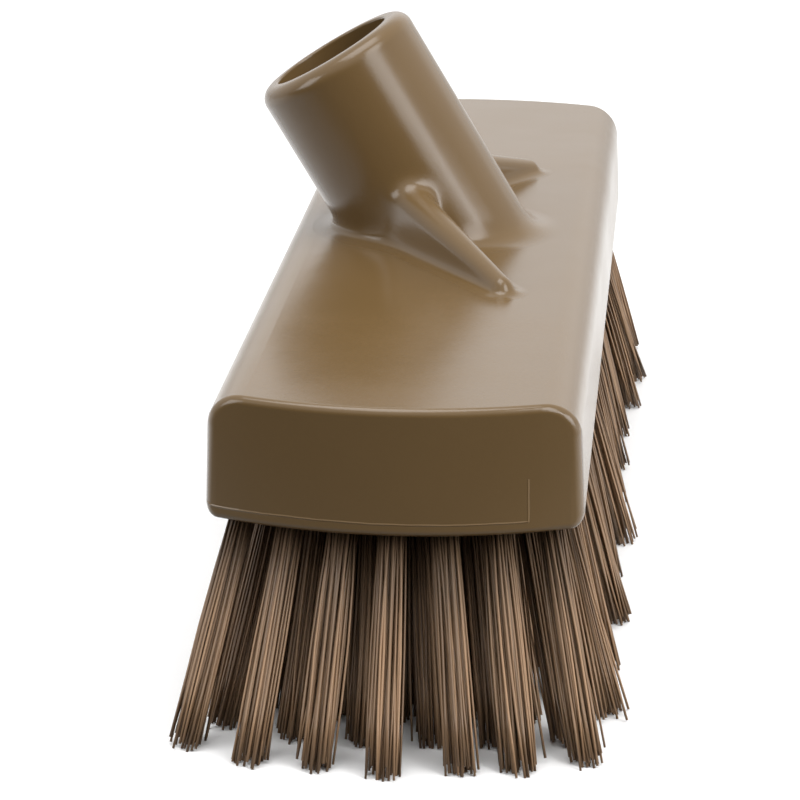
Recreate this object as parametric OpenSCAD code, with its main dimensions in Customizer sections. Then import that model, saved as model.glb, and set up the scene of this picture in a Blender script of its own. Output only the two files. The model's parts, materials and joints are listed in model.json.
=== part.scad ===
// Head of a floor scrub brush: a moulded block with an angled handle socket,
// tufts of stiff filament set in drilled holes, and the staples that hold them.
// X runs across the brush, Y along it and Z up. The origin is on the floor under
// the middle of the block, where the trimmed filament tips stand.

/* [Block] */
// Overall length, measured over the two bowed ends
block_length = 305; // [250:1:370]
// Width at the underside
block_width = 85; // [70:0.5:105]
// Width at the top, before the top edges are rounded
block_top_width = 82; // [66:0.5:100]
// Height from underside to top
block_height = 29.5; // [24:0.5:36]
// How far each end bulges past its corners
end_bow = 9.5; // [5:0.5:14]
// Radius of the four upright corners
corner_radius = 5; // [3:0.5:8]
// Radius of the two long top edges
top_edge_radius = 8.5; // [5:0.5:11]
// Radius of the two long bottom edges
bottom_edge_radius = 3; // [1.5:0.5:4]

/* [Handle socket] */
// Lean of the socket away from upright, towards -X
socket_lean = 31; // [20:1:40]
// Where the socket's axis meets the top of the block
socket_root_x = -2; // [-6:0.5:4]
// Length along the axis from the top of the block to the rim
socket_length = 54; // [48:0.5:66]
// Bore that takes the handle tube
handle_bore_diameter = 32; // [26:0.5:38]
// Wall round the handle bore
socket_wall = 5.75; // [4:0.25:7]
// Depth of the handle bore
handle_bore_depth = 26; // [20:0.5:30]
// Diameter of the narrower hole that the handle's screwed tip enters
thread_hole_diameter = 19; // [15:0.5:23]
// Depth of the narrower hole below the handle bore
thread_hole_depth = 17; // [12:0.5:17]
// Radius of the rim's outer edge
rim_radius = 4; // [2:0.25:5]
// Width and depth of the lead-in at the mouth of the bore
mouth_chamfer = 0.8; // [0.4:0.1:1.2]
// Radius of the flare where the socket meets the block
root_flare = 5.5; // [3:0.5:8]

/* [Gusset ribs] */
// Thickness of each rib, with a half-round ridge
rib_thickness = 7; // [4:0.2:9]
// Height of the ridge where it leaves the socket
rib_height = 16; // [12:0.5:20]
// Height of the ridge at the foot
rib_foot_height = 3.2; // [3:0.2:5]
// Place across the block where the line of each rib crosses the socket's middle plane
rib_root_x = -20.5; // [-24:0.5:-2]
// Foot of each rib across the block
rib_foot_x = 20; // [14:0.5:26]
// Foot of each rib along the block
rib_foot_y = 62; // [48:1:72]

/* [Bristles] */
// Length of filament that shows below the block
bristle_length = 51; // [40:1:62]
// Diameter of each tuft hole
tuft_hole_diameter = 6.6; // [5.4:0.1:7.6]
// Depth of each tuft hole along its axis
tuft_hole_depth = 14; // [11:0.5:17]
// Gap between a packed root and its hole
root_gap = 0.05; // [0.02:0.01:0.1]
// Distance from the block's side to the outer column of holes
side_margin = 8.3; // [7:0.1:10]
// Distance from the middle of the block's end to the end row
end_margin = 8.5; // [7.5:0.1:11]
// How far the outer tufts of the end rows lie back from the middle one
row_bow = 8; // [4:0.5:12]
// Lean of the outer columns away from upright
side_lean = 13.5; // [6:0.5:15]
// Lean of the end rows away from upright
end_lean = 21.5; // [8:0.5:24]
// Radius of the circle of strands at a tuft's root
root_spread = 1.6; // [1.5:0.1:2]
// Radius of the circle of strands at a tuft's tip
tip_spread = 3.6; // [2.8:0.1:4]
// Radius of one strand, which stands for a bunch of filaments
strand_radius = 1.1; // [0.8:0.1:1.2]

/* [Staples] */
// Height of the flat staple wire, along the hole
staple_height = 2.2; // [1.6:0.1:2.6]
// Thickness of the staple wire
staple_thickness = 0.5; // [0.4:0.05:0.7]
// Gap round a staple
staple_gap = 0.1; // [0.05:0.05:0.2]

/* [Hidden] */
TUFT_ROWS = 23;
LONG_ROW_TUFTS = 7;
function numbered(name, row) = str(name, "_", row < 10 ? "0" : "", row);

$fn = 64;
overlap = 1;
tip_cut = 0.5;
hole_sides = 8;
bow_steps = 16;
corner_steps = 5;
rim_steps = 5;
strand_sides = 3;
root_below_block = 1;
flare_steps = [0, 0.12, 0.42, 1];
flare_sides = 32;
flare_sink = 0.5;
sliver = 0.01;

block_bottom = bristle_length;
block_top = bristle_length + block_height;
half_length = block_length / 2;
half_width = block_width / 2;
half_top = block_top_width / 2;
socket_radius = handle_bore_diameter / 2 + socket_wall;
middle_row = (TUFT_ROWS + 1) / 2;
outer_x = half_width - side_margin;
end_y = half_length - end_margin;
column_pitch = 2 * outer_x / (LONG_ROW_TUFTS - 1);
root_length = tuft_hole_depth - staple_height - 2 * staple_gap;

// Radius of the circle through both corners and the middle of a bowed end
bow_radius = (half_width ^ 2 + end_bow ^ 2) / (2 * end_bow);
bow_centre_y = half_length - bow_radius;
// Centre of an upright corner's round, which touches the side and the bowed end
corner_x = half_width - corner_radius;
corner_y = bow_centre_y + sqrt((bow_radius - corner_radius) ^ 2 - corner_x ^ 2);

function unit(v) = v / norm(v);
function turn_at(p, a, b) = acos(unit(a - p) * unit(b - p)) / 2;
function ring(points, i) = points[(i + len(points)) % len(points)];
function round_centre(points, radii, i) =
    let (p = points[i], a = ring(points, i - 1), b = ring(points, i + 1))
    p + unit(unit(a - p) + unit(b - p)) * radii[i] / sin(turn_at(p, a, b));
function tangent_points(points, radii, i) =
    let (p = points[i], a = ring(points, i - 1), b = ring(points, i + 1))
    let (reach = radii[i] / tan(turn_at(p, a, b)))
    [p + unit(a - p) * reach, p + unit(b - p) * reach];

// Convex polygon whose corners are true arcs
module rounded_polygon(points, radii) {
    polygon([for (i = [0 : len(points) - 1]) each tangent_points(points, radii, i)]);
    for (i = [0 : len(points) - 1])
        translate(round_centre(points, radii, i)) circle(radii[i]);
}

// Rounded trapezoid, seen along the block
module block_section() {
    rounded_polygon(
        [[-half_width, 0], [half_width, 0], [half_top, block_height], [-half_top, block_height]],
        [bottom_edge_radius, bottom_edge_radius, top_edge_radius, top_edge_radius]
    );
}

// Points along an arc, from one angle to another
function arc(centre, radius, from, to, steps) =
    [for (i = [0 : steps]) let (a = from + (to - from) * i / steps) centre + radius * [cos(a), sin(a)]];

// Rectangle with bowed ends and round corners, seen from above
module block_plan() {
    bow_turn = asin(corner_x / (bow_radius - corner_radius));
    right_corner = arc([corner_x, corner_y], corner_radius, 0, 90 - bow_turn, corner_steps);
    bow = arc([0, bow_centre_y], bow_radius, 90 - bow_turn, 90 + bow_turn, bow_steps);
    left_corner = arc([-corner_x, corner_y], corner_radius, 90 + bow_turn, 180, corner_steps);
    inner_bow = [for (i = [1 : bow_steps - 1]) bow[i]];
    end_points = concat(right_corner, inner_bow, left_corner);
    polygon(concat(end_points, -end_points));
}

// Rows alternate between 7 tufts and 6, staggered by half a pitch
function tufts_in(row) = row % 2 == 1 ? LONG_ROW_TUFTS : LONG_ROW_TUFTS - 1;
function tuft_x(row, i) = (i - (tufts_in(row) - 1) / 2) * column_pitch;
function tuft_y(row, x) =
    (row - middle_row) / (middle_row - 1) * (end_y - row_bow * (x / outer_x) ^ 2);
function tuft_root(row, i) =
    let (x = tuft_x(row, i)) [x, tuft_y(row, x), block_bottom];
function tuft_slope(root) =
    [tan(side_lean) * root.x / outer_x, tan(end_lean) * root.y / end_y, -1];
function outer_tuft(row, i) = row == 1 || row == TUFT_ROWS || i == 0 || i == tufts_in(row) - 1;

// Direction in which a tuft faces out of the brush, seen from above
function outward(row, i, root) =
    (row == 1 || row == TUFT_ROWS)
        ? atan2(root.y / end_y, root.x / outer_x)
        : (root.x < 0 ? 180 : 0);

// Turns the children's -Z axis to point along the slope v, whose z is -1
module aim(v) {
    lean_x = -atan(v.x);
    rotate([atan(v.y * cos(lean_x)), lean_x, 0]) children();
}

// Prism from the point start to the point end
module strand(start, end, turn) {
    way = end - start;
    translate(start)
        aim(way / -way.z)
            rotate([0, 0, turn])
                mirror([0, 0, 1])
                    cylinder(r = strand_radius, h = norm(way), $fn = strand_sides);
}

module tuft_hole(row, i) {
    root = tuft_root(row, i);
    translate(root)
        aim(tuft_slope(root))
            translate([0, 0, -2 * root_below_block - overlap])
                cylinder(
                    d = tuft_hole_diameter,
                    h = tuft_hole_depth + 2 * root_below_block + overlap,
                    $fn = hole_sides
                );
}

module tuft_root_plug(root) {
    translate(root)
        aim(tuft_slope(root))
            translate([0, 0, -root_below_block])
                cylinder(
                    r = tuft_hole_diameter / 2 - root_gap,
                    h = root_length + root_below_block,
                    $fn = hole_sides
                );
}

module tuft(row, i) {
    root = tuft_root(row, i);
    tip = root + tuft_slope(root) * (bristle_length + tip_cut);
    count = outer_tuft(row, i) ? 3 : 2;
    tuft_root_plug(root);
    for (k = [0 : count - 1]) {
        angle = outward(row, i, root) + k * 360 / count;
        around = [cos(angle), sin(angle), 0];
        strand(root + root_spread * around, tip + tip_spread * around, angle);
    }
}

module block() {
    color("#6d5239")
        difference() {
            intersection() {
                translate([0, half_length + overlap, block_bottom])
                    rotate([90, 0, 0])
                        linear_extrude(block_length + 2 * overlap) block_section();
                translate([0, 0, block_bottom - overlap])
                    linear_extrude(block_height + 2 * overlap) block_plan();
            }
            for (row = [1 : TUFT_ROWS], i = [0 : tufts_in(row) - 1]) tuft_hole(row, i);
        }
}

// Half section of the socket's wall, turned about its axis
module socket_profile() {
    rim_centre = [socket_radius - rim_radius, socket_length - rim_radius];
    rim = arc(rim_centre, rim_radius, 0, 90, rim_steps);
    polygon(concat([[0, 0], [socket_radius, 0]], rim, [[0, socket_length]]));
}

module on_socket_axis() {
    translate([socket_root_x, 0, block_top]) rotate([0, -socket_lean, 0]) children();
}

// Slice of the leaning socket, grown by the flare's radius at that height
module flare_slice(height) {
    grow = root_flare - sqrt(root_flare ^ 2 - (root_flare - height) ^ 2);
    sink = flare_sink * height / root_flare;
    translate([socket_root_x - height * tan(socket_lean), 0, block_top + height])
        scale([1 / cos(socket_lean), 1, 1])
            cylinder(r = socket_radius + grow - sink, h = sliver, $fn = flare_sides);
}

module flare() {
    for (i = [0 : len(flare_steps) - 2])
        hull() {
            flare_slice(flare_steps[i] * root_flare);
            flare_slice(flare_steps[i + 1] * root_flare);
        }
}

// Outer shape of the socket before anything is cut from it
module socket_body() {
    on_socket_axis() {
        rotate_extrude() socket_profile();
        translate([0, 0, -block_height]) cylinder(r = socket_radius, h = block_height + overlap);
    }
    flare();
}

module handle_socket() {
    reach = socket_length + block_height;
    color("#74583e")
        difference() {
            socket_body();
            on_socket_axis() {
                translate([0, 0, socket_length - handle_bore_depth])
                    cylinder(d = handle_bore_diameter, h = handle_bore_depth + overlap);
                translate([0, 0, socket_length - handle_bore_depth - thread_hole_depth])
                    cylinder(d = thread_hole_diameter, h = thread_hole_depth + overlap);
                translate([0, 0, socket_length - mouth_chamfer])
                    cylinder(
                        r1 = handle_bore_diameter / 2,
                        r2 = handle_bore_diameter / 2 + 2 * mouth_chamfer,
                        h = 2 * mouth_chamfer
                    );
            }
            translate([-reach, -reach, block_top - reach]) cube([2 * reach, 2 * reach, reach]);
        }
}

// Upright fin from the socket to its foot, with a half-round ridge and end
module gusset_rib() {
    run = norm([rib_foot_x - rib_root_x, rib_foot_y]);
    turn = atan2(-rib_foot_y, rib_foot_x - rib_root_x);
    half = rib_thickness / 2;
    run_inside_socket = socket_radius * run / rib_foot_y;
    fall = atan((rib_height - rib_foot_height) / (run - run_inside_socket));
    start_height = rib_foot_height + run * tan(fall);
    color("#74583e")
        difference() {
            translate([rib_root_x, 0, block_top])
                rotate([0, 0, turn])
                    intersection() {
                        translate([0, 0, start_height - half / cos(fall)])
                            rotate([0, 90 + fall, 0])
                                linear_extrude(2 * run) {
                                    circle(half);
                                    translate([0, -half]) square([2 * start_height, rib_thickness]);
                                }
                        linear_extrude(start_height) {
                            translate([0, -half]) square([run - half, rib_thickness]);
                            translate([run - half, 0]) circle(half);
                        }
                    }
            socket_body();
        }
}

module tuft_row(row) {
    color("#a08670")
        difference() {
            for (i = [0 : tufts_in(row) - 1]) tuft(row, i);
            translate([-block_width, -block_length, -block_height])
                cube([2 * block_width, 2 * block_length, block_height]);
        }
}

module staple(root) {
    across = (tuft_hole_diameter / 2 - root_gap) * cos(180 / hole_sides);
    translate(root)
        aim(tuft_slope(root))
            rotate([0, 0, 180 / hole_sides])
                translate([0, 0, root_length + staple_gap + staple_height / 2])
                    cube([2 * across, staple_thickness, staple_height], center = true);
}

module staple_row(row) {
    color("#c4c6c8")
        for (i = [0 : tufts_in(row) - 1]) staple(tuft_root(row, i));
}

block();
handle_socket();
gusset_rib();  // front_rib
mirror([0, 1, 0]) gusset_rib();  // rear_rib
for (row = [1 : TUFT_ROWS])
    tuft_row(row);
for (row = [1 : TUFT_ROWS])
    staple_row(row);
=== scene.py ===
"""Floor scrub brush head: a moulded block with a leaning handle socket and two ribs, fanned tufts of
stiff filament and the staples that hold them, on a pale studio floor. Lengths are in metres."""

import json
import math

import bmesh
import bpy
import numpy as np
from bpy.props import FloatProperty, FloatVectorProperty, IntProperty, PointerProperty
from mathutils import Matrix, Vector


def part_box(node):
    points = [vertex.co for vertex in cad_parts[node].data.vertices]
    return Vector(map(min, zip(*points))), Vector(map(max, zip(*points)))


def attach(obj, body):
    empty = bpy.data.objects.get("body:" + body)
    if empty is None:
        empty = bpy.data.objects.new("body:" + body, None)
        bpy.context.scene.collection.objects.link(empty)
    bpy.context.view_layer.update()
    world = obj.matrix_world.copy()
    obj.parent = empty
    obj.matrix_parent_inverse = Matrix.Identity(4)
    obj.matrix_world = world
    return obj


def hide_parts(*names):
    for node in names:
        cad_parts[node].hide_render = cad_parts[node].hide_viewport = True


bl_info = {
    "name": "Floor Scrub Brush Head",
    "version": (1, 0, 0),
    "blender": (4, 5, 0),
    "location": "View3D > Sidebar > Scrub Brush",
    "description": "Builds a floor scrub brush head with its socket, ribs, tufts and staples",
    "category": "Add Mesh",
}

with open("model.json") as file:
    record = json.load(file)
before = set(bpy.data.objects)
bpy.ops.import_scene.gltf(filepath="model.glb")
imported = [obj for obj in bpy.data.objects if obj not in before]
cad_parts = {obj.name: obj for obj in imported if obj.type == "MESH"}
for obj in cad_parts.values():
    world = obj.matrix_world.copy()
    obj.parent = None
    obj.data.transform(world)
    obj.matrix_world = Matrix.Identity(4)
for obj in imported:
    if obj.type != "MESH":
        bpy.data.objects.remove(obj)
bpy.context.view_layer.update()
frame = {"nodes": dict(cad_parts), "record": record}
MOUNTS = {m["name"]: m for m in frame["record"]["mounts"]}
BLOCK_LOW, BLOCK_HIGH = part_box("block")
UNDERSIDE = BLOCK_LOW.z
TOP = BLOCK_HIGH.z
TUFT_ROWS = sorted(name for name in frame["nodes"] if name.startswith("tuft_row_"))
STAPLE_ROWS = sorted(name for name in frame["nodes"] if name.startswith("staple_row_"))

BORE_AXIS = Vector(MOUNTS["handle_bore"]["axis"]).normalized()
BORE_MIDDLE = Vector(MOUNTS["handle_bore"]["pos_m"])
BORE_RADIUS = MOUNTS["handle_bore"]["dims"]["r_mm"] / 1000
BORE_DEPTH = MOUNTS["handle_bore"]["dims"]["length_mm"] / 1000
THREAD_RADIUS = MOUNTS["handle_screw_hole"]["dims"]["r_mm"] / 1000
THREAD_DEPTH = MOUNTS["handle_screw_hole"]["dims"]["length_mm"] / 1000
SOCKET_ROOT = BORE_MIDDLE - BORE_AXIS * ((BORE_MIDDLE.z - TOP) / BORE_AXIS.z)
SOCKET_LENGTH = (BORE_MIDDLE - SOCKET_ROOT).length + BORE_DEPTH / 2


class BlockSizes(bpy.types.PropertyGroup):
    top_width: FloatProperty(
        name="Top Width", description="Width at the top before the edges are rounded",
        default=0.082, unit="LENGTH")
    end_bow: FloatProperty(
        name="End Bow", description="How far each end bulges past its corners",
        default=0.0095, unit="LENGTH")
    corner_radius: FloatProperty(
        name="Corner Radius", description="Radius of the upright corners",
        default=0.005, unit="LENGTH")
    top_radius: FloatProperty(
        name="Top Edge Radius", description="Radius of the long top edges",
        default=0.0085, unit="LENGTH")
    bottom_radius: FloatProperty(
        name="Bottom Edge Radius", description="Radius of the long bottom edges",
        default=0.003, unit="LENGTH")
    end_radius: FloatProperty(
        name="End Edge Radius", description="Radius of the edge all round each end",
        default=0.0018, unit="LENGTH")
    strips: IntProperty(
        name="Strips", description="Strips across the flat top on each side of the middle",
        default=8, min=2)


class SocketSizes(bpy.types.PropertyGroup):
    wall: FloatProperty(
        name="Wall", description="Wall round the handle bore", default=0.00575, unit="LENGTH")
    rim_radius: FloatProperty(
        name="Rim Radius", description="Radius of the rim's outer edge", default=0.004, unit="LENGTH")
    mouth_radius: FloatProperty(
        name="Mouth Radius", description="Radius of the bore's edge", default=0.0006, unit="LENGTH")
    flare: FloatProperty(
        name="Flare", description="Reach of the blend between socket and block",
        default=0.0075, unit="LENGTH")
    rib_blend: FloatProperty(
        name="Rib Blend", description="Reach of the blend round each rib", default=0.005, unit="LENGTH")
    rib_thickness: FloatProperty(
        name="Rib Thickness", description="Thickness of each rib at the socket",
        default=0.0098, unit="LENGTH")
    rib_foot_thickness: FloatProperty(
        name="Rib Foot Thickness", description="Thickness of each rib at its foot",
        default=0.0048, unit="LENGTH")
    rib_height: FloatProperty(
        name="Rib Height", description="Height of the ridge at the socket", default=0.016, unit="LENGTH")
    rib_foot_height: FloatProperty(
        name="Rib Foot Height", description="Height of the ridge at its foot",
        default=0.0032, unit="LENGTH")
    rib_root: FloatProperty(
        name="Rib Root", description="Where the line of each rib crosses the socket's middle plane",
        default=-0.0205, unit="LENGTH")
    rib_foot: FloatVectorProperty(
        name="Rib Foot", description="Where the rib ends, across and along the block",
        size=2, default=(0.020, 0.062), unit="LENGTH")
    voxel: FloatProperty(
        name="Voxel", description="Size of the faces of the blended skin",
        default=0.0007, unit="LENGTH")
    thread_depth: FloatProperty(
        name="Thread Depth", description="How deep the screw groove is cut",
        default=0.0011, unit="LENGTH")
    thread_pitch: FloatProperty(
        name="Thread Pitch", description="Pitch of the screw groove", default=0.005, unit="LENGTH")


class TuftSizes(bpy.types.PropertyGroup):
    hole_diameter: FloatProperty(
        name="Hole Diameter", description="Diameter of each tuft hole", default=0.0066, unit="LENGTH")
    hole_depth: FloatProperty(
        name="Hole Depth", description="Depth of each tuft hole", default=0.014, unit="LENGTH")
    fold_gap: FloatProperty(
        name="Fold Gap", description="Space kept for the staple at the end of a hole",
        default=0.0024, unit="LENGTH")
    side_margin: FloatProperty(
        name="Side Margin", description="Distance from the block's side to the outer holes",
        default=0.0083, unit="LENGTH")
    end_margin: FloatProperty(
        name="End Margin", description="Distance from the block's end to the end row",
        default=0.0085, unit="LENGTH")
    row_bow: FloatProperty(
        name="Row Bow", description="How far the outer tufts of an end row lie back",
        default=0.008, unit="LENGTH")
    side_lean: FloatProperty(
        name="Side Lean", description="Lean of the outer tufts", default=math.radians(13.5),
        subtype="ANGLE")
    end_lean: FloatProperty(
        name="End Lean", description="Lean of the end rows", default=math.radians(21.5),
        subtype="ANGLE")
    filaments: IntProperty(
        name="Filaments", description="Filament ends in each tuft", default=64, min=7)
    filament_radius: FloatProperty(
        name="Filament Radius", description="Radius of one filament", default=0.0003, unit="LENGTH",
        precision=5)
    tip_radius: FloatProperty(
        name="Tip Radius", description="Radius of a tuft at the floor", default=0.0041, unit="LENGTH")
    tip_ragged: FloatProperty(
        name="Ragged Tips", description="Largest height of a filament's tip above the floor",
        default=0.0032, unit="LENGTH")
    wander: FloatProperty(
        name="Wander", description="Farthest that the tip of a whole tuft strays from its aim each way",
        default=0.0022, unit="LENGTH")
    seed: IntProperty(name="Seed", description="Seed of the filaments' small differences", default=7)


class Finishes(bpy.types.PropertyGroup):
    plastic: FloatVectorProperty(
        name="Plastic", description="Colour of the moulded head", subtype="COLOR",
        default=(0.130, 0.079, 0.031))
    plastic_roughness: FloatProperty(
        name="Plastic Roughness", description="Roughness of the moulded head", default=0.21)
    filament: FloatVectorProperty(
        name="Filament", description="Colour of the filaments", subtype="COLOR",
        default=(0.275, 0.166, 0.090))
    steel: FloatVectorProperty(
        name="Steel", description="Colour of the staples", subtype="COLOR", default=(0.56, 0.57, 0.58))
    floor: FloatVectorProperty(
        name="Floor", description="Colour of the studio floor", subtype="COLOR",
        default=(0.92, 0.92, 0.92))


class StageSettings(bpy.types.PropertyGroup):
    camera_place: FloatVectorProperty(
        name="Camera Place", description="Where the camera stands", size=3,
        default=(0.0615, -0.7851, 0.2925), unit="LENGTH")
    camera_pitch: FloatProperty(
        name="Camera Pitch", description="How far the camera looks down",
        default=math.radians(18.26), subtype="ANGLE")
    camera_turn: FloatProperty(
        name="Camera Turn", description="How far the camera is turned towards -X",
        default=math.radians(5.338), subtype="ANGLE")
    lens: FloatProperty(name="Lens", description="Focal length in millimetres", default=140.06)
    key_power: FloatProperty(
        name="Key Power", description="Power of the upper right light", default=7.0, unit="POWER")
    top_power: FloatProperty(
        name="Top Power", description="Power of the overhead light", default=6.0, unit="POWER")
    side_power: FloatProperty(
        name="Side Power", description="Power of the low light on the right", default=3.5, unit="POWER")
    fill_power: FloatProperty(
        name="Fill Power", description="Power of the left-hand light", default=3.0, unit="POWER")
    back_power: FloatProperty(
        name="Back Power", description="Power of the light behind", default=2.0, unit="POWER")
    front_level: FloatProperty(
        name="Front Level", description="How bright the studio is low on the camera's side", default=0.07)
    upper_level: FloatProperty(
        name="Upper Level", description="How bright the studio is high on the camera's side", default=0.95)
    bounce: FloatProperty(
        name="Bounce", description="Share of the light that the floor throws back on the brush", default=0.15)
    back_level: FloatProperty(
        name="Back Level", description="How bright the studio is behind the brush", default=1.0)


class Wire:
    """A shader value that Python operators can work on."""

    def __init__(self, material, socket):
        self.material = material
        self.socket = socket

    def math(self, operation, *values):
        return self.material.node("ShaderNodeMath", {"operation": operation}, dict(enumerate(values)))

    def __add__(self, other):
        return self.math("ADD", self, other)

    def __radd__(self, other):
        return self.math("ADD", other, self)

    def __sub__(self, other):
        return self.math("SUBTRACT", self, other)

    def __rsub__(self, other):
        return self.math("SUBTRACT", other, self)

    def __mul__(self, other):
        return self.math("MULTIPLY", self, other)

    def __rmul__(self, other):
        return self.math("MULTIPLY", other, self)

    def __pow__(self, other):
        return self.math("POWER", self, other)


class Shader:
    """A node tree that is built by expressions."""

    def __init__(self, tree):
        self.tree = tree
        tree.nodes.clear()

    def node(self, kind, settings=None, inputs=None, output=0):
        """Adds a node, applies its settings, sets or links its sockets and returns one output."""
        made = self.tree.nodes.new(kind)
        for name, value in (settings or {}).items():
            if name == "stops":
                self.set_stops(made.color_ramp, value)
            else:
                setattr(made, name, value)
        for name, value in (inputs or {}).items():
            if isinstance(value, Wire):
                self.tree.links.new(value.socket, made.inputs[name])
            else:
                made.inputs[name].default_value = value
        return Wire(self, made.outputs[output]) if len(made.outputs) else None

    def set_stops(self, ramp, stops):
        while len(ramp.elements) < len(stops):
            ramp.elements.new(1)
        for element, (position, colour) in zip(ramp.elements, stops):
            element.position = position
            element.color = (*colour, 1)

    def place(self):
        return self.node("ShaderNodeTexCoord", output="Object")

    def noise(self, scale, detail=2.0, vector=None):
        """Noise from 0 to 1, with the given number of features to the metre."""
        return self.node("ShaderNodeTexNoise", {}, {
            "Vector": vector or self.place(), "Scale": scale, "Detail": detail})

    def mix(self, factor, first, second, blend="MIX"):
        return self.node("ShaderNodeMix", {"data_type": "RGBA", "blend_type": blend}, {
            0: factor, 6: first, 7: second}, output=2)

    def bump(self, height, distance, strength=1.0, normal=None):
        inputs = {"Height": height, "Distance": distance, "Strength": strength}
        if normal:
            inputs["Normal"] = normal
        return self.node("ShaderNodeBump", {}, inputs)

    def near(self, value, centre, width):
        """1 where the value is at the centre, falling to 0 at the given distance from it."""
        away = value.math("ABSOLUTE", value - centre)
        return self.node("ShaderNodeMapRange", {}, {
            "Value": away, "From Min": 0.0, "From Max": width, "To Min": 1.0, "To Max": 0.0}, output=0)

    def surface(self, inputs):
        shader = self.node("ShaderNodeBsdfPrincipled", {}, inputs)
        self.node("ShaderNodeOutputMaterial", {}, {"Surface": shader})


def new_material(name):
    data = bpy.data.materials.new(name)
    data.use_nodes = True
    return data, Shader(data.node_tree)


def shade(colour, level):
    """The colour times a level, with an alpha of 1."""
    return (*(min(channel * level, 1.0) for channel in colour), 1.0)


def seam_bead_and_painted_highlight(s):
    """A hairline of parting-line bead low on each end, which turns up near one corner. The same mask lightens
    the colour there as a painted highlight.
    """
    x, y, z = (s.node("ShaderNodeSeparateXYZ", {}, {0: s.place()}, output=axis) for axis in "XYZ")
    waver = 0.0008 * s.noise(70, detail=2.0)
    low = s.near(z - waver, UNDERSIDE + 0.0028, 0.00028) * (x.math("LESS_THAN", x, 0.030))
    upright = s.near(x + waver, 0.0304, 0.00028) * (z.math("LESS_THAN", z, UNDERSIDE + 0.013))
    above = z.math("GREATER_THAN", z, UNDERSIDE + 0.003)
    at_end = y.math("GREATER_THAN", y * y, (BLOCK_HIGH.y - 0.012) ** 2)
    return (low + upright * above) * at_end


def moulded_plastic(name, finishes, seam_and_painted_highlight=False):
    """Satin polypropylene: faint flow mottling, a fine grain and slow waves in its gloss."""
    data, s = new_material(name)
    flow = s.noise(38, detail=3.0)
    speckle = s.noise(900, detail=2.0)
    grain = s.noise(2600, detail=1.0)
    colour = s.mix(flow, shade(finishes.plastic, 0.93), shade(finishes.plastic, 1.07))
    colour = s.mix(speckle * 0.25, colour, shade(finishes.plastic, 1.18))
    slow = s.bump(s.noise(60, detail=1.0), 0.00006)
    if seam_and_painted_highlight:
        line = seam_bead_and_painted_highlight(s)
        slow = s.bump(line, 0.00015, normal=slow)
        # Painted highlight: the colour is lightened along the hairline. The bump above gives the real small
        # bead.
        colour = s.mix(line * 0.35, colour, shade(finishes.plastic, 2.6))
    s.surface({
        "Base Color": colour,
        "Roughness": finishes.plastic_roughness - 0.05 + 0.1 * flow,
        "IOR": 1.5,
        "Normal": s.bump(grain, 0.000012, normal=slow),
    })
    return data


def filament_plastic(name, finishes):
    """Extruded filament: each has its own shade, and all are darkened towards the root with painted shade,
    standing in for the shade between the packed filaments.
    """
    data, s = new_material(name)
    own = s.node("ShaderNodeAttribute", {"attribute_name": "own_shade"}, output="Fac")
    tone = s.node("ShaderNodeValToRGB", {"stops": [
        (0.0, shade(finishes.filament, 0.55)[:3]),
        (0.45, shade(finishes.filament, 0.95)[:3]),
        (1.0, shade(finishes.filament, 1.35)[:3]),
    ]}, {"Fac": own})
    streaks = s.noise(700, detail=1.0)
    tone = s.mix(streaks * 0.3, tone, shade(finishes.filament, 0.7))
    height = s.node("ShaderNodeSeparateXYZ", {}, {0: s.place()}, output="Z")
    # Painted shade: the colour darkens towards the block, standing in for the shade between the packed
    # filaments at the root.
    packed = s.node("ShaderNodeMapRange", {"interpolation_type": "SMOOTHSTEP"}, {
        "Value": height, "From Min": UNDERSIDE * 0.45, "From Max": UNDERSIDE, "To Max": 0.75}, output=0)
    s.surface({
        "Base Color": s.mix(packed, tone, shade(finishes.filament, 0.25)),
        "Roughness": 0.34 + 0.12 * own,
        "IOR": 1.55,
    })
    return data


def drawn_steel(name, finishes):
    """Flat drawn wire with fine lines along it."""
    data, s = new_material(name)
    stretched = s.node("ShaderNodeMapping", {}, {"Vector": s.place(), "Scale": (1.0, 1.0, 0.08)})
    lines = s.noise(6000, detail=2.0, vector=stretched)
    s.surface({
        "Base Color": s.mix(lines, shade(finishes.steel, 0.85), shade(finishes.steel, 1.1)),
        "Metallic": 1.0,
        "Roughness": 0.28 + 0.16 * lines,
        "Normal": s.bump(lines, 0.000008),
    })
    return data


def finished(piece, bm, material, slot, *nodes):
    """Puts a finished bmesh in a new object that rides on the brush and stands for its CAD nodes."""
    mesh = bpy.data.meshes.new(piece)
    bm.to_mesh(mesh)
    bm.free()
    mesh.materials.append(material)
    obj = bpy.data.objects.new(piece, mesh)
    bpy.context.scene.collection.objects.link(obj)
    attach(obj, "root")
    if nodes:
        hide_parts(*nodes)
    return obj


def apply_modifiers(obj):
    """Replaces the object's mesh with what its modifiers make of it."""
    graph = bpy.context.evaluated_depsgraph_get()
    old = obj.data
    obj.data = bpy.data.meshes.new_from_object(obj.evaluated_get(graph))
    obj.modifiers.clear()
    bpy.data.meshes.remove(old)


def cut(obj, bm):
    """Cuts the closed shape in a bmesh out of an object."""
    mesh = bpy.data.meshes.new("cutter")
    bm.to_mesh(mesh)
    bm.free()
    cutter = bpy.data.objects.new("cutter", mesh)
    bpy.context.scene.collection.objects.link(cutter)
    change = obj.modifiers.new("cut", "BOOLEAN")
    change.operation = "DIFFERENCE"
    change.solver = "EXACT"
    change.object = cutter
    apply_modifiers(obj)
    bpy.data.objects.remove(cutter)
    bpy.data.meshes.remove(mesh)


def smooth_but_sharp(obj, angle=math.radians(34)):
    """Smooth shading that keeps real edges sharp and flat faces flat."""
    mesh = obj.data
    mesh.shade_smooth()
    mesh.set_sharp_from_angle(angle=angle)
    change = obj.modifiers.new("even_normals", "WEIGHTED_NORMAL")
    change.keep_sharp = True
    change.weight = 80


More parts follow.
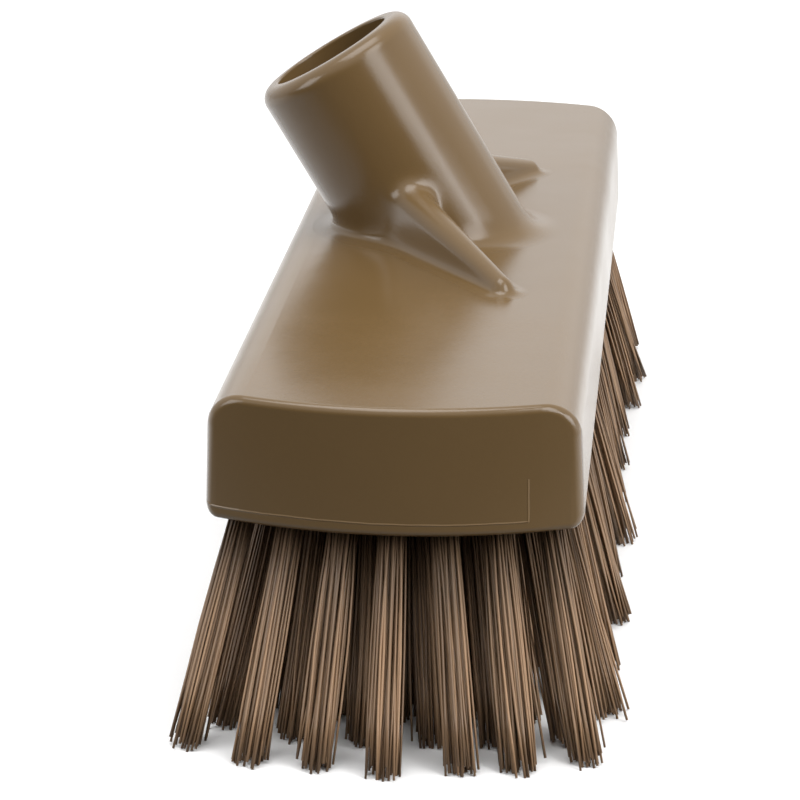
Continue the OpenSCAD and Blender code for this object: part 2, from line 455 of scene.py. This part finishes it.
def plan_reach(x, sizes):
    """How far the block reaches along Y from its middle, at each place across it."""
    half_width = BLOCK_HIGH.x
    bow = sizes.end_bow
    corner = sizes.corner_radius
    bow_radius = (half_width ** 2 + bow ** 2) / (2 * bow)
    bow_centre = BLOCK_HIGH.y - bow_radius
    corner_x = half_width - corner
    corner_y = bow_centre + math.sqrt((bow_radius - corner) ** 2 - corner_x ** 2)
    x = abs(x)
    if x < corner_x * bow_radius / (bow_radius - corner):
        return bow_centre + math.sqrt(bow_radius ** 2 - x ** 2)
    return corner_y + math.sqrt(max(corner ** 2 - (x - corner_x) ** 2, 0.0))


def slice_across(bm, geometry, x):
    bmesh.ops.bisect_plane(bm, geom=geometry, dist=1e-7, plane_co=(x, 0, 0), plane_no=(1, 0, 0))


def round_corners(bm, corners, radius, segments):
    """Rounds flat corners to one radius."""
    for corner in corners:
        one, two = (edge.other_vert(corner).co - corner.co for edge in corner.link_edges)
        reach = radius / math.tan(one.angle(two) / 2)
        bmesh.ops.bevel(
            bm, geom=[corner], offset=reach, offset_type="OFFSET", segments=segments,
            profile=0.5, affect="VERTICES", material=-1)


def end_faces(bm, side):
    """Faces that look out of one end of the block."""
    return [f for f in bm.faces if f.normal.y * side > 0.999]


def block_shape(sizes):
    """The block's section, drawn out along Y, with a rounded edge round both ends and the ends bowed."""
    half_width = BLOCK_HIGH.x
    half_top = sizes.top_width / 2
    flat = half_top - sizes.top_radius
    start = BLOCK_HIGH.y - sizes.end_radius
    bm = bmesh.new()
    outline = [(-half_width, UNDERSIDE), (half_width, UNDERSIDE), (half_top, TOP), (-half_top, TOP)]
    corners = [bm.verts.new((x, -start, z)) for x, z in outline]
    bm.faces.new(corners)
    round_corners(bm, corners[2:], sizes.top_radius, 10)
    round_corners(bm, corners[:2], sizes.bottom_radius, 6)
    for i in range(-sizes.strips, sizes.strips + 1):
        slice_across(bm, bm.verts[:] + bm.edges[:] + bm.faces[:], flat * i / sizes.strips)
    drawn = bmesh.ops.extrude_face_region(bm, geom=bm.faces[:])
    moved = [v for v in drawn["geom"] if isinstance(v, bmesh.types.BMVert)]
    bmesh.ops.translate(bm, verts=moved, vec=(0, 2 * start, 0))
    bmesh.ops.recalc_face_normals(bm, faces=bm.faces)
    round_ends(bm, sizes)
    bend_ends(bm, sizes)
    bmesh.ops.recalc_face_normals(bm, faces=bm.faces)
    return bm


def round_ends(bm, sizes):
    """Insets each end in steps that follow a quarter circle, then slices its outer parts."""
    steps = 6
    turns = [math.pi / 2 * i / steps for i in range(steps + 1)]
    for side in (-1, 1):
        for now, then in zip(turns, turns[1:]):
            bmesh.ops.inset_region(
                bm, faces=end_faces(bm, side), use_boundary=True, use_even_offset=True,
                thickness=sizes.end_radius * (math.cos(now) - math.cos(then)),
                depth=sizes.end_radius * (math.sin(then) - math.sin(now)))
            bm.normal_update()
        reach = BLOCK_HIGH.x - sizes.end_radius
        flat = sizes.top_width / 2 - sizes.top_radius
        for i in range(1, 6):
            for x in (-1, 1):
                faces = end_faces(bm, side)
                edges = list({e for f in faces for e in f.edges})
                verts = list({v for f in faces for v in f.verts})
                slice_across(bm, verts + edges + faces, x * (flat + (reach - flat) * i / 6))
                bm.normal_update()


def bend_ends(bm, sizes):
    for v in bm.verts:
        setback = BLOCK_HIGH.y - plan_reach(v.co.x, sizes)
        v.co.y -= math.copysign(setback, v.co.y)


def tufts_in(row):
    """Rows alternate between seven tufts and six."""
    return 7 - row % 2


def tuft_places(row, tufts):
    """Root and slope of each tuft in a row that is counted from 0."""
    outer_x = BLOCK_HIGH.x - tufts.side_margin
    end_y = BLOCK_HIGH.y - tufts.end_margin
    middle = (len(TUFT_ROWS) - 1) / 2
    places = []
    for i in range(tufts_in(row)):
        x = (i - (tufts_in(row) - 1) / 2) * outer_x / 3
        y = (row - middle) / middle * (end_y - tufts.row_bow * (x / outer_x) ** 2)
        slope = Vector((math.tan(tufts.side_lean) * x / outer_x, math.tan(tufts.end_lean) * y / end_y, -1))
        places.append((Vector((x, y, UNDERSIDE)), slope))
    return places


def tuft_holes(tufts):
    """All the tuft holes as one closed shape, to be cut from the block."""
    bm = bmesh.new()
    below = 0.004
    for row in range(len(TUFT_ROWS)):
        for root, slope in tuft_places(row, tufts):
            way = -slope.normalized()
            middle = root + way * (tufts.hole_depth - below) / 2
            turn = way.to_track_quat("Z", "Y").to_matrix().to_4x4()
            bmesh.ops.create_cone(
                bm, cap_ends=True, segments=20, depth=tufts.hole_depth + below,
                radius1=tufts.hole_diameter / 2, radius2=tufts.hole_diameter / 2,
                matrix=Matrix.Translation(middle) @ turn)
    return bm


class BRUSH_OT_block(bpy.types.Operator):
    """Adds the moulded block with its rounded edges, bowed ends and tuft holes"""
    bl_idname = "brush.block"
    bl_label = "Add Block"

    def execute(self, context):
        scene = context.scene
        plastic = moulded_plastic("block_plastic", scene.brush_finishes, seam_and_painted_highlight=True)
        obj = finished("block_moulding", block_shape(scene.brush_block), plastic, "block", "block")
        cut(obj, tuft_holes(scene.brush_tufts))
        smooth_but_sharp(obj)
        return {"FINISHED"}


def blended(one, two, reach):
    """Smooth union of two distances, with a soft fillet of the given reach."""
    near = np.maximum(reach - np.abs(one - two), 0) / reach
    return np.minimum(one, two) - near ** 3 * reach / 6


def tube_distance(points, radius, edge):
    """Distance to the socket's outside: a cylinder with a rounded rim."""
    away = points - np.array(SOCKET_ROOT)
    along = away @ np.array(BORE_AXIS)
    out = np.linalg.norm(away - along[:, None] * np.array(BORE_AXIS), axis=1)
    wide = out - (radius - edge)
    high = along - (SOCKET_LENGTH - edge)
    return np.hypot(np.maximum(wide, 0), np.maximum(high, 0)) + np.minimum(np.maximum(wide, high), 0) - edge


def rib_line(sizes, side):
    """Direction of a rib from its root, its length, its fall and its ridge's height at the root."""
    foot = Vector((sizes.rib_foot[0] - sizes.rib_root, side * sizes.rib_foot[1]))
    inside = (BORE_RADIUS + sizes.wall) * foot.length / sizes.rib_foot[1]
    fall = math.atan((sizes.rib_height - sizes.rib_foot_height) / (foot.length - inside))
    return foot.normalized(), foot.length, fall, sizes.rib_foot_height + foot.length * math.tan(fall)


def rib_distance(points, sizes, side):
    """Distance to an upright fin whose sloping ridge and foot are half round."""
    way, length, fall, start = rib_line(sizes, side)
    x = points[:, 0] - sizes.rib_root
    y = points[:, 1]
    z = points[:, 2] - TOP
    along = x * way.x + y * way.y
    across = x * way.y - y * way.x
    full_until = 0.3
    taper = (np.clip(along / length, full_until, 1.0) - full_until) / (1.0 - full_until)
    half = (sizes.rib_thickness + (sizes.rib_foot_thickness - sizes.rib_thickness) * taper) / 2
    above = (z - start + half / math.cos(fall)) * math.cos(fall) + along * math.sin(fall)
    past = np.maximum(along - (length - half), -along)
    return np.hypot(across, np.hypot(np.maximum(above, 0), np.maximum(past, 0))) - half


def skin_distance(points, sizes):
    """Distance to the blended skin of socket, ribs and the top of the block."""
    tube = tube_distance(points, BORE_RADIUS + sizes.wall, sizes.rim_radius)
    body = blended(tube, points[:, 2] - TOP, sizes.flare)
    for side in (-1, 1):
        body = blended(body, rib_distance(points, sizes, side), sizes.rib_blend)
    return body


def skin_slope(points, sizes):
    """Gradient of the skin's distance."""
    step = 2e-5
    slope = np.empty_like(points)
    for axis in range(3):
        shift = np.zeros(3)
        shift[axis] = step
        rise = skin_distance(points + shift, sizes) - skin_distance(points - shift, sizes)
        slope[:, axis] = rise / (2 * step)
    return slope


def pull_to_skin(mesh, sizes, passes):
    """Moves every vertex along the distance's slope until it lies on the skin."""
    points = np.empty(len(mesh.vertices) * 3)
    mesh.vertices.foreach_get("co", points)
    points = points.reshape(-1, 3)
    for _ in range(passes):
        slope = skin_slope(points, sizes)
        size = np.maximum((slope ** 2).sum(axis=1), 0.2)
        points -= slope * (skin_distance(points, sizes) / size)[:, None]
    mesh.vertices.foreach_set("co", points.ravel())


def rough_socket(sizes):
    """Plain solids that roughly fill the socket, its ribs and a slab under them."""
    bm = bmesh.new()
    radius = BORE_RADIUS + sizes.wall
    sink = 0.02
    middle = SOCKET_ROOT + BORE_AXIS * (SOCKET_LENGTH - sink) / 2
    turn = BORE_AXIS.to_track_quat("Z", "Y").to_matrix().to_4x4()
    bmesh.ops.create_cone(
        bm, cap_ends=True, segments=96, radius1=radius, radius2=radius,
        depth=SOCKET_LENGTH + sink, matrix=Matrix.Translation(middle) @ turn)
    for side in (-1, 1):
        way, length, fall, start = rib_line(sizes, side)
        fin = bmesh.ops.create_cube(bm, size=1.0)["verts"]
        for v in fin:
            along = length * (v.co.x + 0.5)
            height = (start - along * math.tan(fall)) if v.co.z > 0 else -0.003
            across = v.co.y * (sizes.rib_foot_thickness if v.co.x > 0 else sizes.rib_thickness)
            v.co = Vector((
                sizes.rib_root + way.x * along - way.y * across,
                way.y * along + way.x * across,
                TOP + height))
    slab = bmesh.ops.create_cube(bm, size=1.0)["verts"]
    spread = (0.086, 2 * sizes.rib_foot[1] + 0.02, 0.006)
    bmesh.ops.scale(bm, verts=slab, vec=spread)
    bmesh.ops.translate(bm, verts=slab, vec=(SOCKET_ROOT.x, 0, TOP - spread[2] / 2))
    bmesh.ops.recalc_face_normals(bm, faces=bm.faces)
    return bm


def clear_below(bm, height):
    """Removes what lies below a height and leaves the cut open."""
    bmesh.ops.bisect_plane(
        bm, geom=bm.verts[:] + bm.edges[:] + bm.faces[:], dist=1e-8,
        plane_co=(0, 0, height), plane_no=(0, 0, 1), clear_inner=True)


def open_at_bottom(mesh):
    """Opens the slab under the block's top, so that only the outer skin is left."""
    bm = bmesh.new()
    bm.from_mesh(mesh)
    clear_below(bm, TOP - 0.0005)
    bm.to_mesh(mesh)
    bm.free()


def trim_at_top(mesh):
    """Keeps what stands above the block's top and closes it a little way inside the block."""
    bm = bmesh.new()
    bm.from_mesh(mesh)
    clear_below(bm, TOP + 6e-6)
    edges = [e for e in bm.edges if e.is_boundary]
    skirt = bmesh.ops.extrude_edge_only(bm, edges=edges)["geom"]
    verts = [v for v in skirt if isinstance(v, bmesh.types.BMVert)]
    bmesh.ops.translate(bm, verts=verts, vec=(0, 0, -0.0008))
    bmesh.ops.holes_fill(bm, edges=[e for e in bm.edges if e.is_boundary], sides=0)
    bmesh.ops.recalc_face_normals(bm, faces=bm.faces)
    bm.to_mesh(mesh)
    bm.free()


def turned(bm, profile, steps, turn):
    """Spins a profile of radius and height about Z into a closed shape, then turns it in place."""
    verts = [bm.verts.new((radius, 0, height)) for radius, height in profile]
    edges = [bm.edges.new(pair) for pair in zip(verts, verts[1:])]
    bmesh.ops.spin(
        bm, geom=verts + edges, cent=(0, 0, 0), axis=(0, 0, 1), dvec=(0, 0, 0),
        angle=2 * math.pi, steps=steps, use_merge=True)
    bmesh.ops.remove_doubles(bm, verts=bm.verts, dist=1e-6)
    bmesh.ops.recalc_face_normals(bm, faces=bm.faces)
    bmesh.ops.transform(bm, verts=bm.verts, matrix=turn)


def bore_shape(sizes):
    """What is cut from the socket: the handle bore with its rounded mouth, and the hole below it."""
    floor = SOCKET_LENGTH - BORE_DEPTH - THREAD_DEPTH
    shoulder = SOCKET_LENGTH - BORE_DEPTH
    mouth = sizes.mouth_radius
    above = 0.004
    profile = [(0, floor), (THREAD_RADIUS - 0.001, floor), (THREAD_RADIUS, floor + 0.001)]
    profile += [(THREAD_RADIUS, shoulder - 0.0006), (THREAD_RADIUS + 0.0006, shoulder)]
    profile += [(BORE_RADIUS - 0.0008, shoulder), (BORE_RADIUS, shoulder + 0.0008)]
    for i in range(7):
        turn = math.pi / 2 * i / 6
        profile.append((
            BORE_RADIUS + mouth * (1 - math.cos(turn)), SOCKET_LENGTH - mouth * (1 - math.sin(turn))))
    profile += [(BORE_RADIUS + mouth, SOCKET_LENGTH + above), (0, SOCKET_LENGTH + above)]
    bm = bmesh.new()
    place = Matrix.Translation(SOCKET_ROOT) @ BORE_AXIS.to_track_quat("Z", "Y").to_matrix().to_4x4()
    turned(bm, profile, 128, place)
    return bm


def thread_shape(sizes):
    """The coarse screw groove below the bore: a small wedge swept along a helix."""
    bm = bmesh.new()
    steps_a_turn = 48
    floor = SOCKET_LENGTH - BORE_DEPTH - THREAD_DEPTH
    turns = (THREAD_DEPTH - 0.003) / sizes.thread_pitch
    inner, outer = THREAD_RADIUS - 0.0006, THREAD_RADIUS + sizes.thread_depth
    wedge = [(inner, -0.0014), (outer, -0.0006), (outer, 0.0006), (inner, 0.0014)]
    verts = [bm.verts.new((radius, 0, floor + 0.0025 + height)) for radius, height in wedge]
    face = bm.faces.new(verts)
    bmesh.ops.spin(
        bm, geom=[face], cent=(0, 0, 0), axis=(0, 0, 1),
        dvec=(0, 0, sizes.thread_pitch / steps_a_turn), angle=2 * math.pi * turns,
        steps=round(steps_a_turn * turns), use_merge=False)
    bmesh.ops.recalc_face_normals(bm, faces=bm.faces)
    place = Matrix.Translation(SOCKET_ROOT) @ BORE_AXIS.to_track_quat("Z", "Y").to_matrix().to_4x4()
    bmesh.ops.transform(bm, verts=bm.verts, matrix=place)
    return bm


class BRUSH_OT_socket(bpy.types.Operator):
    """Adds the leaning handle socket, blended with its two ribs and the top of the block"""
    bl_idname = "brush.socket"
    bl_label = "Add Socket"

    def execute(self, context):
        scene = context.scene
        sizes = scene.brush_socket
        plastic = moulded_plastic("socket_plastic", scene.brush_finishes)
        obj = finished(
            "handle_socket_moulding", rough_socket(sizes), plastic, "socket",
            "handle_socket", "front_rib", "rear_rib")
        skin = obj.modifiers.new("skin", "REMESH")
        skin.mode = "VOXEL"
        skin.voxel_size = sizes.voxel
        apply_modifiers(obj)
        open_at_bottom(obj.data)
        pull_to_skin(obj.data, sizes, 6)
        for _ in range(2):
            relax(obj.data)
            pull_to_skin(obj.data, sizes, 4)
        trim_at_top(obj.data)
        cut(obj, bore_shape(sizes))
        cut(obj, thread_shape(sizes))
        smooth_but_sharp(obj, math.radians(40))
        return {"FINISHED"}


def relax(mesh):
    """Evens out the faces of a mesh."""
    bm = bmesh.new()
    bm.from_mesh(mesh)
    for _ in range(3):
        bmesh.ops.smooth_vert(
            bm, verts=bm.verts, factor=0.5, use_axis_x=True, use_axis_y=True, use_axis_z=True)
    bm.to_mesh(mesh)
    bm.free()


def filament_template(sides, rings):
    """One filament of unit radius and unit length along Z, as points and faces."""
    bm = bmesh.new()
    bmesh.ops.create_circle(bm, cap_ends=True, segments=sides, radius=1.0)
    face = bm.faces[:][0]
    for _ in range(rings):
        drawn = bmesh.ops.extrude_face_region(bm, geom=[face])
        moved = [v for v in drawn["geom"] if isinstance(v, bmesh.types.BMVert)]
        bmesh.ops.translate(bm, verts=moved, vec=(0, 0, 1 / rings))
        face = next(f for f in drawn["geom"] if isinstance(f, bmesh.types.BMFace))
    bmesh.ops.recalc_face_normals(bm, faces=bm.faces)
    bmesh.ops.triangulate(bm, faces=bm.faces)
    bm.verts.index_update()
    points = np.array([v.co for v in bm.verts])
    faces = np.array([[v.index for v in f.verts] for f in bm.faces])
    bm.free()
    return points, faces


def tuft_stray(tufts, rng):
    """How far the tip of one tuft strays from its aim."""
    return np.array([*rng.uniform(-tufts.wander, tufts.wander, 2), 0.0])


def filament_paths(root, slope, stray_tip, tufts, rng, rings):
    """Points along each filament of one tuft, from the fold at the staple to the trimmed tip."""
    count = tufts.filaments
    order = np.arange(count)
    golden = math.pi * (3 - math.sqrt(5))
    turn = order * golden + rng.uniform(0, 2 * math.pi)
    share = np.sqrt((order + 0.5) / count)
    packed = (tufts.hole_diameter / 2 - 1.1 * tufts.filament_radius) * share
    spread = (tufts.tip_radius - tufts.filament_radius) * share
    around = np.stack([np.cos(turn), np.sin(turn), np.zeros(count)], axis=1)
    slope = np.array(slope)
    deep = (tufts.hole_depth - tufts.fold_gap) / np.linalg.norm(slope)
    base = np.array(root) - slope * deep
    start = base + around * packed[:, None]
    mouth = np.array(root) + around * packed[:, None]
    tip = np.array(root) + slope * UNDERSIDE + stray_tip + around * spread[:, None]
    jitter = rng.normal(0, 0.0005, (count, 3))
    stray = rng.random(count) < 0.06
    jitter[stray] *= 3.2
    jitter[:, 2] = 0
    tip += jitter
    tip[:, 2] = 0
    bend = rng.normal(0, 0.0004, (count, 3))
    trim = rng.uniform(0, 1, count) ** 1.6 * tufts.tip_ragged / UNDERSIDE
    paths = [start]
    for ring in range(rings):
        t = ring / (rings - 1)
        here = mouth + (tip - mouth) * (t * (1 - trim))[:, None] + bend * math.sin(math.pi * t)
        paths.append(here)
    return np.stack(paths, axis=1)


def sweep(paths, template, radius):
    """Copies of the template bent along the paths: points of all copies, in order."""
    points, _ = template
    rings = paths.shape[1] - 1
    level = np.rint(points[:, 2] * rings).astype(int)
    way = np.gradient(paths, axis=1)
    way /= np.linalg.norm(way, axis=2, keepdims=True)
    side = np.cross(way, np.array([0.0, 1.0, 0.0]))
    side /= np.linalg.norm(side, axis=2, keepdims=True)
    other = np.cross(way, side)
    around = points[None, :, :1] * side[:, level] + points[None, :, 1:2] * other[:, level]
    return paths[:, level] + radius[:, None, None] * around


class BRUSH_OT_tufts(bpy.types.Operator):
    """Adds every tuft as a full bunch of separate filaments, one piece for each row"""
    bl_idname = "brush.tufts"
    bl_label = "Add Tufts"

    def execute(self, context):
        scene = context.scene
        tufts = scene.brush_tufts
        rings = 5
        material = filament_plastic("filament_plastic", scene.brush_finishes)
        template = filament_template(5, rings)
        for row, node in enumerate(TUFT_ROWS):
            rng = np.random.default_rng(tufts.seed + row)
            paths = np.concatenate([
                filament_paths(root, slope, tuft_stray(tufts, rng), tufts, rng, rings)
                for root, slope in tuft_places(row, tufts)])
            radius = tufts.filament_radius * rng.uniform(0.86, 1.04, len(paths))
            copies = sweep(paths, template, radius)
            shades = np.repeat(rng.random(len(paths)), copies.shape[1])
            self.add_row(node, copies, template[1], shades, material)
        return {"FINISHED"}

    def add_row(self, node, copies, faces, shades, material):
        count, size = copies.shape[:2]
        corners = (faces[None] + (np.arange(count) * size)[:, None, None]).reshape(-1, 3)
        mesh = bpy.data.meshes.new(node + "_filaments")
        mesh.from_pydata(copies.reshape(-1, 3), [], corners)
        own_shade = mesh.attributes.new("own_shade", "FLOAT", "POINT")
        own_shade.data.foreach_set("value", shades.astype(np.float32))
        mesh.shade_smooth()
        mesh.materials.append(material)
        obj = bpy.data.objects.new(node + "_filaments", mesh)
        bpy.context.scene.collection.objects.link(obj)
        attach(obj, "root")
        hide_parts(node)


class BRUSH_OT_staples(bpy.types.Operator):
    """Gives the staples at the ends of the tuft holes their steel"""
    bl_idname = "brush.staples"
    bl_label = "Finish Staples"

    def execute(self, context):
        steel = drawn_steel("staple_steel", context.scene.brush_finishes)
        for node in STAPLE_ROWS:
            data = frame["nodes"][node].data
            data.materials.clear()
            data.materials.append(steel)
        return {"FINISHED"}


def soft_box(name, place, target, width, height, power):
    """A rectangular lamp that faces a point."""
    data = bpy.data.lights.new(name, "AREA")
    data.shape = "RECTANGLE"
    data.size = width
    data.size_y = height
    data.energy = power
    lamp = bpy.data.objects.new(name, data)
    lamp.location = place
    lamp.rotation_euler = (Vector(target) - Vector(place)).to_track_quat("-Z", "Y").to_euler()
    lamp.visible_camera = False
    bpy.context.scene.collection.objects.link(lamp)


class BRUSH_OT_stage(bpy.types.Operator):
    """Adds the studio floor, the lights, the world and the camera"""
    bl_idname = "brush.stage"
    bl_label = "Add Stage"

    def execute(self, context):
        scene = context.scene
        stage = scene.brush_stage
        self.add_floor(scene.brush_finishes, stage)
        self.add_world(scene, stage)
        middle = (0, 0, 0.07)
        soft_box("key_light", (0.75, -0.55, 0.75), middle, 0.5, 0.9, stage.key_power)
        soft_box("side_light", (1.0, -0.3, 0.22), middle, 0.5, 0.4, stage.side_power)
        soft_box("top_light", (-0.1, -0.1, 1.1), middle, 0.7, 0.7, stage.top_power)
        soft_box("fill_light", (-0.9, -0.5, 0.45), middle, 0.5, 0.5, stage.fill_power)
        soft_box("back_light", (0.3, 1.6, 0.75), middle, 2.4, 0.9, stage.back_power)
        data = bpy.data.cameras.new("camera")
        data.lens = stage.lens
        data.sensor_width = 36
        data.clip_start = 0.01
        camera = bpy.data.objects.new("camera", data)
        camera.location = stage.camera_place
        camera.rotation_euler = (math.pi / 2 - stage.camera_pitch, 0, stage.camera_turn)
        scene.collection.objects.link(camera)
        scene.camera = camera
        scene.view_settings.view_transform = "Standard"
        return {"FINISHED"}

    def add_floor(self, finishes, stage):
        bm = bmesh.new()
        bmesh.ops.create_grid(bm, x_segments=1, y_segments=1, size=12)
        mesh = bpy.data.meshes.new("studio_floor")
        bm.to_mesh(mesh)
        bm.free()
        data, s = new_material("floor_paper")
        fibre = s.noise(120, detail=3.0)
        pale = s.mix(fibre, shade(finishes.floor, 0.985), shade(finishes.floor, 1.01))
        depth = s.node("ShaderNodeSeparateXYZ", {}, {0: s.place()}, output="Y")
        far = s.node("ShaderNodeMapRange", {"interpolation_type": "SMOOTHSTEP"}, {
            "Value": depth, "From Min": -0.35, "From Max": 0.1}, output=0)
        mirrored = s.mix(
            far, shade(finishes.floor, stage.front_level), shade(finishes.floor, stage.back_level))
        seen = s.node("ShaderNodeLightPath", output="Is Camera Ray")
        gloss = s.node("ShaderNodeLightPath", output="Is Glossy Ray")
        unseen = s.mix(gloss, shade(finishes.floor, stage.bounce), mirrored)
        paint = s.node("ShaderNodeBsdfDiffuse", {}, {"Color": s.mix(seen, unseen, pale)})
        s.node("ShaderNodeOutputMaterial", {}, {"Surface": paint})
        mesh.materials.append(data)
        floor = bpy.data.objects.new("studio_floor", mesh)
        bpy.context.scene.collection.objects.link(floor)

    def add_world(self, scene, stage):
        world = bpy.data.worlds.new("studio")
        world.use_nodes = True
        scene.world = world
        s = Shader(world.node_tree)
        seen = s.node("ShaderNodeLightPath", output="Is Camera Ray")
        way = s.node("ShaderNodeTexCoord", output="Generated")
        across = s.node("ShaderNodeSeparateXYZ", {}, {0: way}, output="Y")
        up = s.node("ShaderNodeSeparateXYZ", {}, {0: way}, output="Z")
        behind = s.node("ShaderNodeMapRange", {"interpolation_type": "SMOOTHSTEP"}, {
            "Value": across, "From Min": -0.6, "From Max": 0.3}, output=0)
        high = s.node("ShaderNodeMapRange", {"interpolation_type": "SMOOTHSTEP"}, {
            "Value": up, "From Min": 0.15, "From Max": 0.75}, output=0)
        front = stage.front_level + (stage.upper_level - stage.front_level) * high
        studio = front + behind * (stage.back_level - front)
        level = studio + (1.0 - studio) * seen
        sky = s.node("ShaderNodeBackground", {}, {"Color": (1, 1, 1, 1), "Strength": level})
        s.node("ShaderNodeOutputWorld", {}, {"Surface": sky})


class BRUSH_PT_panel(bpy.types.Panel):
    """Lists the steps that build the brush head"""
    bl_label = "Scrub Brush"
    bl_idname = "BRUSH_PT_panel"
    bl_space_type = "VIEW_3D"
    bl_region_type = "UI"
    bl_category = "Scrub Brush"

    def draw(self, context):
        for operator in OPERATORS:
            self.layout.operator(operator.bl_idname)


GROUPS = {
    "brush_block": BlockSizes,
    "brush_socket": SocketSizes,
    "brush_tufts": TuftSizes,
    "brush_finishes": Finishes,
    "brush_stage": StageSettings,
}
OPERATORS = (BRUSH_OT_stage, BRUSH_OT_block, BRUSH_OT_socket, BRUSH_OT_tufts, BRUSH_OT_staples)
CLASSES = (*GROUPS.values(), *OPERATORS, BRUSH_PT_panel)


def register():
    for cls in CLASSES:
        bpy.utils.register_class(cls)
    for name, cls in GROUPS.items():
        setattr(bpy.types.Scene, name, PointerProperty(type=cls))


def unregister():
    for name in GROUPS:
        delattr(bpy.types.Scene, name)
    for cls in reversed(CLASSES):
        bpy.utils.unregister_class(cls)


def main():
    register()
    bpy.ops.brush.stage()
    bpy.ops.brush.block()
    bpy.ops.brush.socket()
    bpy.ops.brush.tufts()
    bpy.ops.brush.staples()


if __name__ == "__main__":
    main()
